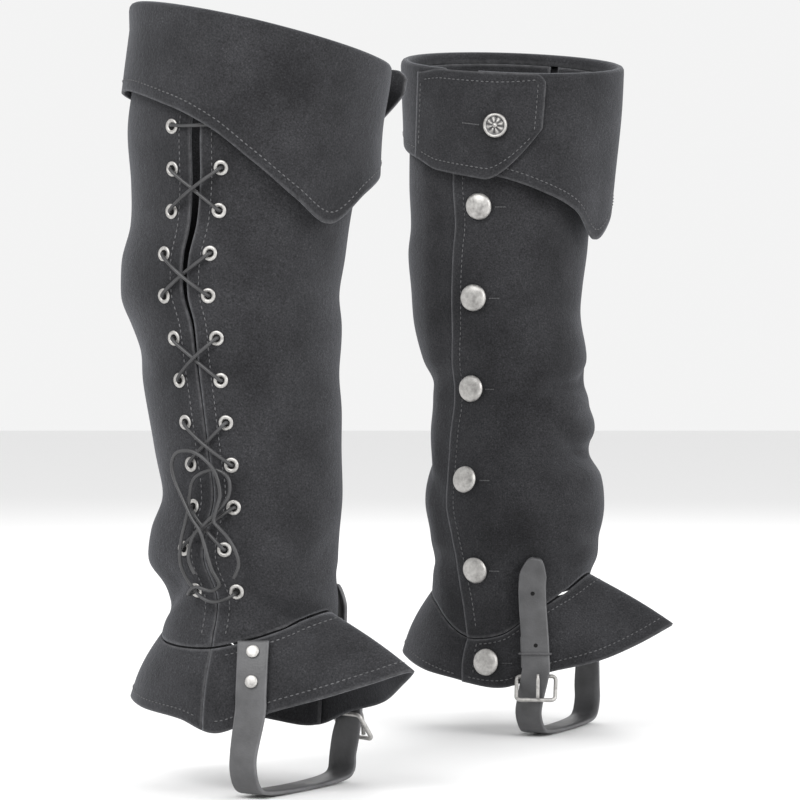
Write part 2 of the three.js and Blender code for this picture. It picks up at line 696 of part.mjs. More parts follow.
function addBow(cover) {
  const low = eyeletHeight(EYELET_ROWS - 1) - 0.8;
  const across = eyeletAcross(low) - 0.8;
  [['front', BOW_FRONT_END, -across], ['back', BOW_BACK_END, across]].forEach(([name, route, start]) => {
    const points = [
      lacePoint(cover, start, low, LACE_EXIT_OUT),
      lacePoint(cover, start * 0.96, low - 1, BOW_OUT[name] - 1.2),
      ...route.map(([side, z]) => lacePoint(cover, side, z, BOW_OUT[name])),
    ];
    add(`${cover.name}_bow_${name}`, tube(points, LACE_RADIUS, points.length - 1, 8), LACE_LEATHER);
  });
}

COVERS.forEach((cover) => {
  addLeg(cover);
  addFoot(cover);
  addCuff(cover);
  addTab(cover);
  addButtons(cover);
  addStrap(cover);
  addBuckle(cover);
  addLace(cover);
  addBow(cover);
});

export default pair;
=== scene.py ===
"""A pair of black suede boot covers, standing open as on legs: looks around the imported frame.

The shapes repeat the sizes of the solids, in millimetres, on finer grids, and are turned to metres
where a mesh is made. Angles go round a leg: 0 front, 90 lateral, 180 back, 270 medial.
"""
import math

import bpy
import numpy as np
from mathutils import Matrix, Vector


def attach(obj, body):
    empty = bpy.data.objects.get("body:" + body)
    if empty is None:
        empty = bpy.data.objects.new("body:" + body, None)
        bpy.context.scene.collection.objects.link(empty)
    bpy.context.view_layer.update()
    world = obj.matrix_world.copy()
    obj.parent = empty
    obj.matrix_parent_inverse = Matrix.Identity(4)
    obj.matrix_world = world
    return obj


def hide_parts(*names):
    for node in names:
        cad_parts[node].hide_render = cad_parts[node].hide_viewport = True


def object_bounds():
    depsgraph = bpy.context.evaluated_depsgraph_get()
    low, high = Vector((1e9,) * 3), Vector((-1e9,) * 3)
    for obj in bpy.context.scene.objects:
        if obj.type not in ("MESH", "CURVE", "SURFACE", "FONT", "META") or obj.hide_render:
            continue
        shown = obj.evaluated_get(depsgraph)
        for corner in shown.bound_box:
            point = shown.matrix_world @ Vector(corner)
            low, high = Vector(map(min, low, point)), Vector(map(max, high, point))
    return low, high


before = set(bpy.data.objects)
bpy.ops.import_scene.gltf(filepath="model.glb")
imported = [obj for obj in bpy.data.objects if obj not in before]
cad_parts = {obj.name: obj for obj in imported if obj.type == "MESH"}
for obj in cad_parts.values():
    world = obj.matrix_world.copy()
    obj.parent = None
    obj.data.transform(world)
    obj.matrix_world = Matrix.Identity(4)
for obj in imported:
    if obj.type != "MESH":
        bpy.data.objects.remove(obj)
cad_box = [[float(v) for v in corner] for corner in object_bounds()]
MM = 0.001

# ---- Sizes, as in the solids --------------------------------------------------------------------------

WALL = 2.0
ROUNDNESS = 0.86
PLACKET_LAP = 34
TUCK = 3.2
EYELET_ROWS, EYELET_TOP, EYELET_PITCH, EYELET_FROM_EDGE = 12, 169, 26.0, 14
SLIT_TOP_GAP, SLIT_FOOT_GAP = 7, 1
LACE_RADIUS = 1.15
BUTTON_RADIUS, BUTTON_TOP, BUTTON_PITCH, BUTTON_COUNT, BUTTON_FROM_EDGE = 9.5, 132, 64.6, 6, 17
STRAP_WIDTH, STRAP_THICK, STRAP_ANGLE = 19.5, 2.8, 57
TAB_START, TAB_BUTTON = 236, 284
STITCH_PITCH, STITCH_LENGTH, STITCH_RADIUS = 3.7, 2.5, 0.42
EYELET_RING, EYELET_BAR, EYELET_HOLE = 3.5, 1.25, 3.0
BUTTON_RISE, RIVET_RADIUS, RIVET_RISE = 4.2, 4, 2.0
RIVET_HEIGHTS = (-153, -171)
STRAP_HOLE_RADIUS, STRAP_HOLE_HEIGHTS, SPARE_HOLE_HEIGHT = 1.5, (-142, -160, -178), -222
STRAP_OVER_CHAPE = 7.4
BUCKLE_HEIGHT, BUCKLE_BAR, BUCKLE_TILT, BUCKLE_DROP = 19, 2.8, -30, 8
KEEPER_HEIGHT, KEEPER_BAR = 9.2, 1.5
PRONG_LENGTH, PRONG_THICK = 17, 1.8

# Leg sections from the top down: centre forward of the origin, half length, placket edge.
RIGHT_LEG = [
    dict(z=232, centre=18, half=80, placket=258),
    dict(z=200, centre=12, half=80, placket=258),
    dict(z=170, centre=5, half=78, placket=259),
    dict(z=135, centre=3, half=74, placket=260),
    dict(z=110, centre=0, half=72, placket=260),
    dict(z=88, centre=-5, half=73.5, placket=260),
    dict(z=66, centre=-6, half=72, placket=257),
    dict(z=48, centre=-2, half=69, placket=255),
    dict(z=25, centre=0, half=66.5, placket=249),
    dict(z=0, centre=3, half=64.5, placket=246),
    dict(z=-30, centre=6, half=61.5, placket=242),
    dict(z=-60, centre=9, half=59.5, placket=240),
    dict(z=-82, centre=4, half=62, placket=240),
    dict(z=-98, centre=3, half=62, placket=242),
    dict(z=-122, centre=10, half=56, placket=246),
    dict(z=-150, centre=7, half=58, placket=252),
    dict(z=-185, centre=7, half=62, placket=258),
]
LEFT_LEG = [
    dict(z=240, centre=6, half=75, placket=257),
    dict(z=200, centre=3, half=73, placket=257),
    dict(z=150, centre=-2, half=69, placket=258),
    dict(z=120, centre=-4, half=66, placket=260),
    dict(z=100, centre=-6, half=66, placket=260),
    dict(z=75, centre=-6.5, half=63.5, placket=258),
    dict(z=48, centre=-5, half=62.5, placket=256),
    dict(z=22, centre=0, half=60.5, placket=249),
    dict(z=5, centre=2, half=57, placket=246),
    dict(z=-8, centre=6, half=59, placket=243),
    dict(z=-27, centre=6, half=60.5, placket=241),
    dict(z=-45, centre=4, half=59, placket=240),
    dict(z=-60, centre=7, half=64, placket=240),
    dict(z=-81, centre=7.5, half=66, placket=240),
    dict(z=-101, centre=8, half=63, placket=241),
    dict(z=-118, centre=7.5, half=61, placket=244),
    dict(z=-132, centre=5, half=58, placket=248),
    dict(z=-150, centre=5, half=59, placket=253),
    dict(z=-185, centre=7, half=62, placket=258),
]

# Seam between leg and foot piece, by angle.
ANKLE_SEAM = [
    dict(angle=0, z=-130),
    dict(angle=30, z=-137),
    dict(angle=60, z=-146),
    dict(angle=90, z=-152),
    dict(angle=135, z=-150),
    dict(angle=180, z=-143),
    dict(angle=220, z=-152),
    dict(angle=250, z=-173),
    dict(angle=280, z=-172),
    dict(angle=303, z=-157),
    dict(angle=330, z=-142),
]

# Hem of the foot piece, by the angle of the leg above it.
FOOT_HEM = [
    dict(angle=0, forward=129, lateral=0, z=-164),
    dict(angle=12, forward=110, lateral=15, z=-171),
    dict(angle=28, forward=86, lateral=33, z=-180),
    dict(angle=50, forward=52, lateral=48, z=-191),
    dict(angle=75, forward=20, lateral=55, z=-204),
    dict(angle=100, forward=-10, lateral=52, z=-197),
    dict(angle=130, forward=-45, lateral=42, z=-193),
    dict(angle=160, forward=-71, lateral=20, z=-189),
    dict(angle=180, forward=-79, lateral=0, z=-188),
    dict(angle=200, forward=-71, lateral=-20, z=-192),
    dict(angle=230, forward=-45, lateral=-42, z=-200),
    dict(angle=260, forward=-8, lateral=-52, z=-207),
    dict(angle=285, forward=22, lateral=-55, z=-209),
    dict(angle=310, forward=52, lateral=-48, z=-198),
    dict(angle=332, forward=86, lateral=-33, z=-189),
    dict(angle=348, forward=110, lateral=-15, z=-177),
]

# Hem of the turned-down cuff: its height and how far it hangs out.
CUFF_HEM = [
    dict(angle=4, z=109, out=13),
    dict(angle=24, z=124, out=13),
    dict(angle=45, z=146, out=11),
    dict(angle=65, z=166, out=8),
    dict(angle=90, z=181, out=6),
    dict(angle=130, z=193, out=5),
    dict(angle=180, z=188, out=4.5),
    dict(angle=225, z=171, out=4.5),
    dict(angle=265, z=160, out=6),
    dict(angle=300, z=151, out=9),
    dict(angle=325, z=140, out=14),
    dict(angle=345, z=128, out=15),
]

# Free ends of the lace: across the slit (positive to the back), height.
BOW_FRONT_END = [
    (-9, -121), (-3, -123), (3, -122), (8, -118), (11.5, -108), (11.5, -98), (11, -85), (11, -70),
    (11.6, -58), (8, -48), (0, -43), (-8, -42), (-13.5, -47), (-13, -57), (-8, -66), (-2, -75),
    (3.4, -83), (5.5, -96), (4.5, -106),
]
BOW_BACK_END = [
    (6, -114), (-3, -116), (-9, -112), (-8.5, -103), (-7.5, -94), (-2, -80), (6, -71), (14.5, -59),
    (19.5, -48), (20, -39), (15.5, -32), (8, -30), (1.4, -32), (-5.4, -39), (-8, -47), (-8.8, -57),
    (-7.5, -66), (-8, -73), (-12, -77), (-18, -83), (-23.5, -92), (-24, -100), (-18.5, -108),
]
BOW_OUT = dict(front=7.9, back=10.7)
LACE_EXIT_OUT = 2.8
CUFF_ROLL = [(0, 8.5), (0.3, 5.0), (1.0, 2.4), (2.4, 0.7), (4.2, 0), (6.0, 0.7), (7.2, 2.4), (7.6, 5.0)]

COVERS = [
    dict(name="right", place=(-88.5, -165), yaw=32, outward=1, leg=RIGHT_LEG, slit=84, turn=13,
         rim=(229, -16, 11.5), tab_end=308, tab_stand=20),
    dict(name="left", place=(88.5, 165), yaw=24, outward=-1, leg=LEFT_LEG, slit=84, turn=-13,
         rim=(238, -7.5, 10.5), tab_end=307, tab_stand=0),
]

# Creases: angle and height of the middle, half length, tilt (up to the back), half width, depth (out is +).
CREASES = dict(
    right=[
        (20, -136, 46, 24, 6, -4.5), (40, -118, 40, 18, 8, 1.8), (10, -100, 34, -14, 9, -2.2),
        (55, -88, 30, 30, 9, 1.6), (130, -122, 34, -12, 6, -3.5), (150, -104, 30, 14, 8, 2.0),
        (165, -70, 26, -22, 9, -2.0), (20, -62, 30, 20, 12, -1.5), (30, -20, 36, -24, 16, -1.4),
        (150, 30, 30, 26, 12, -2.2), (140, 62, 30, -18, 12, 1.6), (20, 46, 40, 32, 18, -1.5),
        (50, 96, 30, -20, 16, 1.2), (300, -118, 40, 16, 8, -3.2), (285, -78, 30, -18, 10, -2.0),
        (310, 10, 34, 20, 14, -1.8), (215, -112, 36, 10, 8, -3.0), (200, 8, 34, -16, 12, -2.0),
        (345, 70, 36, 24, 16, -1.4), (70, -136, 22, 8, 5, -2.5),
    ],
    left=[
        (345, 4, 46, 20, 7, -4.0), (330, -28, 44, -22, 8, -3.0), (350, -44, 38, 16, 7, -3.2),
        (320, -66, 40, 12, 12, 2.2), (340, -96, 44, -10, 8, -2.4), (318, -118, 36, 18, 7, -3.0),
        (300, -92, 28, 24, 9, -1.6), (225, -118, 36, 14, 7, -3.4), (210, -60, 34, -18, 9, -2.6),
        (215, 10, 36, 16, 9, -3.0), (300, 40, 36, 24, 14, -1.6), (345, 66, 34, -20, 14, -1.4),
        (20, -10, 40, 14, 9, -3.0), (60, -100, 36, 12, 9, -2.6), (130, -110, 40, -14, 8, -3.0),
        (150, 0, 36, 18, 10, -2.6), (35, 60, 36, 26, 16, -1.6), (290, -132, 26, -8, 6, 1.4),
    ],
)

CREASE_DEGREE, CREASE_REACH = 1.1, 60
CREASE_WAVER, CREASE_WAVER_LENGTH = 4, 17

# ---- Tables and places --------------------------------------------------------------------------------

SORTED = {id(table): sorted(table, key=lambda row: row["z"]) for table in (RIGHT_LEG, LEFT_LEG)}
for angle_table in (ANKLE_SEAM, FOOT_HEM, CUFF_HEM):
    SORTED[id(angle_table)] = sorted(angle_table, key=lambda row: row["angle"])


def column(table, key, at, name):
    """A column between rows, through a smooth curve; a table by angle closes on itself."""
    closed = key == "angle"
    rows = SORTED[id(table)]
    count = len(rows)
    x = rows[0][key] + (at - rows[0][key]) % 360 if closed else at

    def row(i):
        if not closed:
            return rows[min(max(i, 0), count - 1)][key], rows[min(max(i, 0), count - 1)][name]
        return rows[i % count]["angle"] + 360 * (i // count), rows[i % count][name]

    i = 0
    while i < count - (1 if closed else 2) and x > row(i + 1)[0]:
        i += 1
    (x0, y0), (x1, y1), (x2, y2), (x3, y3) = row(i - 1), row(i), row(i + 1), row(i + 2)
    span = x2 - x1
    t = min(max((x - x1) / span, 0), 1)
    m1 = (y2 - y0) / (x2 - x0) * span
    m2 = (y3 - y1) / (x3 - x1) * span
    t2, t3 = t * t, t * t * t
    return (2 * t3 - 3 * t2 + 1) * y1 + (t3 - 2 * t2 + t) * m1 + (3 * t2 - 2 * t3) * y2 + (t3 - t2) * m2


def smooth(x, low, high):
    t = min(max((x - low) / (high - low), 0), 1)
    return t * t * (3 - 2 * t)


def mix(a, b, t):
    return a + (b - a) * t


def place(cover, forward, lateral, z):
    yaw, side = math.radians(cover["yaw"]), cover["outward"]
    return Vector((cover["place"][0] + forward * math.cos(yaw) - side * lateral * math.sin(yaw),
                   cover["place"][1] - forward * math.sin(yaw) - side * lateral * math.cos(yaw), z))


def rim_height(cover, angle):
    mean, forward, lateral = cover["rim"]
    return mean + forward * math.cos(math.radians(angle)) + lateral * math.sin(math.radians(angle))


def seam_height(angle):
    return column(ANKLE_SEAM, "angle", angle, "z")


def placket_edge(cover, z):
    return column(cover["leg"], "z", z, "placket")


def plain_leg(cover, angle, z, out):
    half = column(cover["leg"], "z", z, "half")
    turn = math.radians(angle)
    return place(cover, column(cover["leg"], "z", z, "centre") + (half + out) * math.cos(turn),
                 (half * ROUNDNESS + out) * math.sin(turn), z)


def crease(cover, angle, z):
    """How far the folds move the cloth out here; quiet beside the lacing and the buttons."""
    total = 0.0
    for mid, height, length, tilt, width, depth in CREASES[cover["name"]]:
        along = ((angle - mid + 180) % 360 - 180) * CREASE_DEGREE
        rise = z - height
        if abs(along) > 2.2 * length or abs(rise) > CREASE_REACH:
            continue
        slope = math.radians(tilt)
        u = along * math.cos(slope) + rise * math.sin(slope)
        waver = CREASE_WAVER * math.sin(u / CREASE_WAVER_LENGTH)
        v = rise * math.cos(slope) - along * math.sin(slope) + waver
        total += depth * math.exp(-(v / width) ** 2 - (u / length) ** 4)
    quiet_slit = smooth(abs((angle - cover["slit"] + 180) % 360 - 180), 12, 34)
    beside = (angle - placket_edge(cover, z) - 12 + 180) % 360 - 180
    return total * mix(0.12, 1, quiet_slit) * mix(0.15, 1, smooth(abs(beside), 14, 34))


def leg_point(cover, angle, z, out):
    fade = 1 - smooth(z, 130, 160)
    return plain_leg(cover, angle, z, out + (crease(cover, angle, z) * fade if fade else 0))


def foot_point(cover, angle, down, out):
    seam = seam_height(angle)
    half = column(cover["leg"], "z", seam, "half")
    turn = math.radians(angle)
    forward = mix(column(cover["leg"], "z", seam, "centre") + half * math.cos(turn),
                  column(FOOT_HEM, "angle", angle, "forward"), down)
    lateral = mix(half * ROUNDNESS * math.sin(turn), column(FOOT_HEM, "angle", angle, "lateral"), down)
    z = mix(seam, column(FOOT_HEM, "angle", angle, "z"), down)
    out += 3 * math.sin(math.pi * down) + crease(cover, angle, seam) * (1 - down)
    return place(cover, forward + out * math.cos(turn), lateral + out * math.sin(turn), z)


def on_cover(cover, angle, z, out):
    seam = seam_height(angle)
    if z >= seam:
        return leg_point(cover, angle, z, out)
    return foot_point(cover, angle, (seam - z) / (seam - column(FOOT_HEM, "angle", angle, "z")), out)


def facing(cover, angle, z):
    around = on_cover(cover, angle + 1, z, 0) - on_cover(cover, angle - 1, z, 0)
    up = on_cover(cover, angle, z + 1, 0) - on_cover(cover, angle, z - 1, 0)
    return (around.cross(up) * -cover["outward"]).normalized()


def degrees_for(cover, z, length):
    return math.degrees(length / column(cover["leg"], "z", z, "half"))


def eyelet_height(row):
    return EYELET_TOP - row * EYELET_PITCH


def slit_half_gap(z):
    return mix(SLIT_FOOT_GAP, SLIT_TOP_GAP, smooth(z, eyelet_height(EYELET_ROWS) + 120, EYELET_TOP)) / 2


def cuff_hem(cover, angle, name):
    return column(CUFF_HEM, "angle", angle - cover["turn"] * math.cos(math.radians(angle / 2)) ** 2, name)


def cuff_out(cover, angle, z):
    start = rim_height(cover, angle) - 5
    fall = min(max((start - z) / (start - cuff_hem(cover, angle, "z")), 0), 1.1)
    wave = 0.9 * math.sin(math.radians(angle * 3 + 40)) * fall * smooth(abs((angle + 90) % 360 - 15), 30, 60)
    return mix(7.6, cuff_hem(cover, angle, "out") + 1, fall) + wave


def tab_point(cover, angle, down, out):
    along = (angle - TAB_START) / (cover["tab_end"] - TAB_START)
    near = smooth(along, 0, 0.25)
    top = rim_height(cover, angle) - 1 - 4 * (1 - near) - 9 * smooth(along, 0.9, 1.04) ** 2
    bottom = cuff_hem(cover, angle, "z") - 5 * near + 1 + 46 * (max(along - 0.62, 0) / 0.38) ** 1.6
    z = mix(top, bottom, down)
    stand = cover["tab_stand"] * smooth(angle, TAB_BUTTON - 8, cover["tab_end"] + 12) ** 1.3
    return plain_leg(cover, angle, z, max(cuff_out(cover, angle, z), 7.6) + WALL + 0.9 + stand + out)


def spread(low, high, count):
    return [mix(low, high, i / count) for i in range(count + 1)]


# ---- Materials ----------------------------------------------------------------------------------------


def new_material(name):
    material = bpy.data.materials.new(name)
    material.use_nodes = True
    nodes, links = material.node_tree.nodes, material.node_tree.links
    return material, nodes, links, nodes["Principled BSDF"]


def noise(nodes, links, coords, scale, detail, rough=0.6):
    node = nodes.new("ShaderNodeTexNoise")
    node.inputs["Scale"].default_value = scale
    node.inputs["Detail"].default_value = detail
    node.inputs["Roughness"].default_value = rough
    links.new(coords, node.inputs["Vector"])
    return node.outputs["Fac"]


def ramp(nodes, links, value, stops):
    node = nodes.new("ShaderNodeValToRGB")
    while len(node.color_ramp.elements) < len(stops):
        node.color_ramp.elements.new(0.5)
    for element, (position, grey) in zip(node.color_ramp.elements, stops):
        element.position = position
        element.color = (*grey, 1) if isinstance(grey, tuple) else (grey, grey, grey * 1.04, 1)
    links.new(value, node.inputs["Fac"])
    return node.outputs["Color"]


def blend_colors(nodes, links, factor, a, b, kind="MIX"):
    node = nodes.new("ShaderNodeMix")
    node.data_type = "RGBA"
    node.blend_type = kind
    if isinstance(factor, float):
        node.inputs["Factor"].default_value = factor
    else:
        links.new(factor, node.inputs["Factor"])
    links.new(a, node.inputs["A"])
    links.new(b, node.inputs["B"])
    return node.outputs["Result"]


def bump(nodes, links, height, strength, distance, normal=None):
    node = nodes.new("ShaderNodeBump")
    node.inputs["Strength"].default_value = strength
    node.inputs["Distance"].default_value = distance
    links.new(height, node.inputs["Height"])
    if normal:
        links.new(normal, node.inputs["Normal"])
    return node.outputs["Normal"]


def suede_material():
    material, nodes, links, shader = new_material("suede_nap")
    coords = nodes.new("ShaderNodeTexCoord").outputs["Object"]
    nap = noise(nodes, links, coords, 900, 3, 0.7)
    tufts = noise(nodes, links, coords, 260, 4, 0.65)
    brushed = noise(nodes, links, coords, 22, 5, 0.6)
    base = ramp(nodes, links, brushed, [(0.3, 0.017), (0.7, 0.040)])
    fine = ramp(nodes, links, nap, [(0.32, 0.35), (0.62, 1.0), (0.78, 2.2)])
    color = blend_colors(nodes, links, 1.0, base, fine, "MULTIPLY")
    worn = nodes.new("ShaderNodeAttribute")
    worn.attribute_name = "worn_edge"
    pale = ramp(nodes, links, tufts, [(0.3, 0.05), (0.75, 0.16)])
    links.new(blend_colors(nodes, links, worn.outputs["Fac"], color, pale), shader.inputs["Base Color"])
    shader.inputs["Roughness"].default_value = 0.95
    shader.inputs["Specular IOR Level"].default_value = 0.18
    shader.inputs["Sheen Weight"].default_value = 0.22
    shader.inputs["Sheen Roughness"].default_value = 0.5
    shader.inputs["Sheen Tint"].default_value = (0.7, 0.72, 0.78, 1)
    coarse = bump(nodes, links, tufts, 0.55, 0.0009)
    links.new(bump(nodes, links, nap, 0.6, 0.0005, coarse), shader.inputs["Normal"])
    return material


def leather_material(name, dark, light, rough):
    material, nodes, links, shader = new_material(name)
    coords = nodes.new("ShaderNodeTexCoord").outputs["Object"]
    cloud = noise(nodes, links, coords, 60, 5)
    grain = nodes.new("ShaderNodeTexVoronoi")
    grain.inputs["Scale"].default_value = 700
    links.new(coords, grain.inputs["Vector"])
    color = ramp(nodes, links, cloud, [(0.3, dark), (0.72, light)])
    worn = nodes.new("ShaderNodeAttribute")
    worn.attribute_name = "worn_edge"
    pale = ramp(nodes, links, cloud, [(0.3, light), (0.7, light * 1.8)])
    links.new(blend_colors(nodes, links, worn.outputs["Fac"], color, pale), shader.inputs["Base Color"])
    links.new(ramp(nodes, links, cloud, [(0.3, rough), (0.7, rough + 0.15)]), shader.inputs["Roughness"])
    links.new(bump(nodes, links, grain.outputs["Distance"], 0.25, 0.0003), shader.inputs["Normal"])
    return material


def pewter_material():
    material, nodes, links, shader = new_material("antique_pewter")
    coords = nodes.new("ShaderNodeTexCoord").outputs["Object"]
    cloud = noise(nodes, links, coords, 320, 5, 0.7)
    hollow = nodes.new("ShaderNodeAttribute")
    hollow.attribute_name = "worn_edge"
    metal = ramp(nodes, links, cloud, [(0.3, (0.30, 0.29, 0.28)), (0.7, (0.60, 0.59, 0.57))])
    dark = ramp(nodes, links, cloud, [(0.3, 0.03), (0.8, 0.12)])
    links.new(blend_colors(nodes, links, hollow.outputs["Fac"], metal, dark), shader.inputs["Base Color"])
    shader.inputs["Metallic"].default_value = 0.85
    links.new(ramp(nodes, links, cloud, [(0.3, 0.36), (0.7, 0.58)]), shader.inputs["Roughness"])
    links.new(bump(nodes, links, cloud, 0.3, 0.0002), shader.inputs["Normal"])
    return material


# Near-black colour for the holes: painted shade, standing in for the dark inside seen through a hole.
def hole_shade_material(name):
    material, nodes, links, shader = new_material(name)
    shader.inputs["Base Color"].default_value = (0.004, 0.004, 0.004, 1)
    shader.inputs["Roughness"].default_value = 1.0
    return material


SUEDE = suede_material()
STRAP_LEATHER = leather_material("strap_leather", 0.045, 0.085, 0.42)
LACE_LEATHER = leather_material("lace_leather", 0.022, 0.05, 0.34)
THREAD = leather_material("thread", 0.07, 0.12, 0.7)
PEWTER = pewter_material()

# ---- Meshes -------------------------------------------------------------------------------------------


def add_piece(name, points, faces, material, nodes=(), worn=None, smooth_faces=True):
    mesh = bpy.data.meshes.new(name)
    mesh.from_pydata([tuple(p * MM for p in point) for point in points], [], faces)
    if smooth_faces:
        mesh.polygons.foreach_set("use_smooth", [True] * len(mesh.polygons))
    if worn is not None:
        attribute = mesh.attributes.new("worn_edge", "FLOAT", "POINT")
        attribute.data.foreach_set("value", worn)
    mesh.materials.append(material)
    mesh.update()
    piece = bpy.data.objects.new(name, mesh)
    bpy.context.collection.objects.link(piece)
    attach(piece, "root")
    if nodes:
        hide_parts(*nodes)
    return piece


def wall(name, rows, outward, node, thickness=WALL, worn_width=2.0):
    """A closed wall behind a grid of points of its outer face, with soft pale edges."""
    grid = np.array([[tuple(p) for p in row] for row in rows])
    count, width = grid.shape[:2]
    down = np.gradient(grid, axis=0)
    across = np.gradient(grid, axis=1)
    inward = np.cross(down, across)
    inward /= np.linalg.norm(inward, axis=2, keepdims=True)
    inner = grid + inward * thickness * outward
    lengths = np.linalg.norm(np.diff(grid, axis=1), axis=2)
    heights = np.linalg.norm(np.diff(grid, axis=0), axis=2)
    from_left = np.concatenate([np.zeros((count, 1)), np.cumsum(lengths, axis=1)], axis=1)
    from_top = np.concatenate([np.zeros((1, width)), np.cumsum(heights, axis=0)], axis=0)
    edge = np.minimum.reduce([from_left, from_left[:, -1:] - from_left, from_top, from_top[-1:] - from_top])
    worn = np.clip(1 - edge / worn_width, 0, 1) ** 1.5 * 0.55
    points = np.concatenate([grid.reshape(-1, 3), inner.reshape(-1, 3)])
    back = count * width
    faces = []
    for r in range(count - 1):
        for c in range(width - 1):
            a, b, d, e = r * width + c, r * width + c + 1, (r + 1) * width + c, (r + 1) * width + c + 1
            faces += [(a, b, e, d), (back + a, back + d, back + e, back + b)]
    rim = [c for c in range(width)] + [r * width + width - 1 for r in range(1, count)]
    rim += [(count - 1) * width + c for c in range(width - 2, -1, -1)]
    rim += [r * width for r in range(count - 2, 0, -1)]
    faces += [(b, a, back + a, back + b) for a, b in zip(rim, rim[1:] + rim[:1])]
    if outward > 0:
        faces = [face[::-1] for face in faces]
    piece = add_piece(name, points, faces, SUEDE, (node,),
                      np.concatenate([worn.ravel(), worn.ravel()]))
    return piece


def leg_panel(cover, name, first, last, columns, tuck):
    lanes = spread(0, 1, columns)
    rows = []
    for down in spread(0, 1, 170):
        row = []
        for lane in lanes:
            guess = mix(first(0), last(0), lane)
            z = mix(rim_height(cover, guess) - 9, seam_height(guess), down)
            angle = mix(first(z), last(z), lane)
            z = mix(rim_height(cover, angle) - 9, seam_height(angle) + 0.15, down)
            row.append(leg_point(cover, angle, z, tuck(angle, z)))
        rows.append(row)
    wall(f"{cover['name']}_{name}_cloth", rows, cover["outward"], f"{cover['name']}_{name}")


def add_cloth(cover):
    name = cover["name"]
    edge_front = lambda z: placket_edge(cover, z) - 360
    edge_back = lambda z: placket_edge(cover, z) + PLACKET_LAP
    slit = lambda side: lambda z: cover["slit"] + side * degrees_for(cover, z, slit_half_gap(z))
    leg_panel(cover, "leg_front", edge_front, slit(-1), 120, lambda angle, z: 0)
    leg_panel(cover, "leg_back", slit(1), edge_back, 130, lambda angle, z: -TUCK * smooth(
        angle, placket_edge(cover, z) - 26, placket_edge(cover, z) - 6))
    edge = placket_edge(cover, seam_height(placket_edge(cover, -160)))
    steps = spread(0.024, 1, 26)
    front = [[foot_point(cover, angle, down, 0) for angle in spread(edge - 360, cover["slit"] - 0.2, 130)]
             for down in steps]
    wall(f"{name}_foot_front_cloth", front, cover["outward"], f"{name}_foot_front")
    heel = [[foot_point(cover, angle, down, -TUCK * smooth(angle, edge - 26, edge - 6))
             for angle in spread(cover["slit"] + 0.2, edge + PLACKET_LAP, 110)] for down in steps]
    wall(f"{name}_foot_heel_cloth", heel, cover["outward"], f"{name}_foot_heel")
    angles = spread(-88, 252, 220)
    rows = [[plain_leg(cover, angle, rim_height(cover, angle) - below, out) for angle in angles]
            for out, below in CUFF_ROLL]
    for fall in spread(0.06, 1, 34):
        row = []
        for angle in angles:
            z = mix(rim_height(cover, angle) - 5, cuff_hem(cover, angle, "z"), fall)
            row.append(plain_leg(cover, angle, z, cuff_out(cover, angle, z)))
        rows.append(row)
    wall(f"{name}_cuff_cloth", rows, cover["outward"], f"{name}_cuff")
    tab = [[tab_point(cover, angle, down, 0) for angle in spread(TAB_START, cover["tab_end"], 60)]
           for down in spread(0, 1, 44)]
    wall(f"{name}_cuff_tab_cloth", tab, cover["outward"], f"{name}_cuff_tab")


def stitches(name, lines, pitch=STITCH_PITCH, length=STITCH_LENGTH, radius=STITCH_RADIUS):
    """Raised stitches along lines of points: each a small square bar with pointed ends."""
    points, faces = [], []
    for line in lines:
        path = np.array([tuple(p) for p in line])
        run = np.concatenate([[0], np.cumsum(np.linalg.norm(np.diff(path, axis=0), axis=1))])
        for start in np.arange(pitch / 2, run[-1] - pitch, pitch):
            ends = [np.array([np.interp(s, run, path[:, k]) for k in range(3)])
                    for s in (start, start + length)]
            along = ends[1] - ends[0]
            side = np.cross(along, (0.3, 0.2, 1.0))
            side = side / np.linalg.norm(side) * radius
            up = np.cross(side, along)
            up = up / np.linalg.norm(up) * radius
            at = len(points)
            for share in (0.25, 0.75):
                middle = ends[0] + along * share
                points += [middle + side, middle + up, middle - side, middle - up]
            points += [ends[0], ends[1]]
            for k in range(4):
                j = (k + 1) % 4
                faces += [(at + k, at + j, at + 4 + j, at + 4 + k), (at + 8, at + j, at + k),
                          (at + 9, at + 4 + k, at + 4 + j)]
    add_piece(name, points, faces, THREAD)


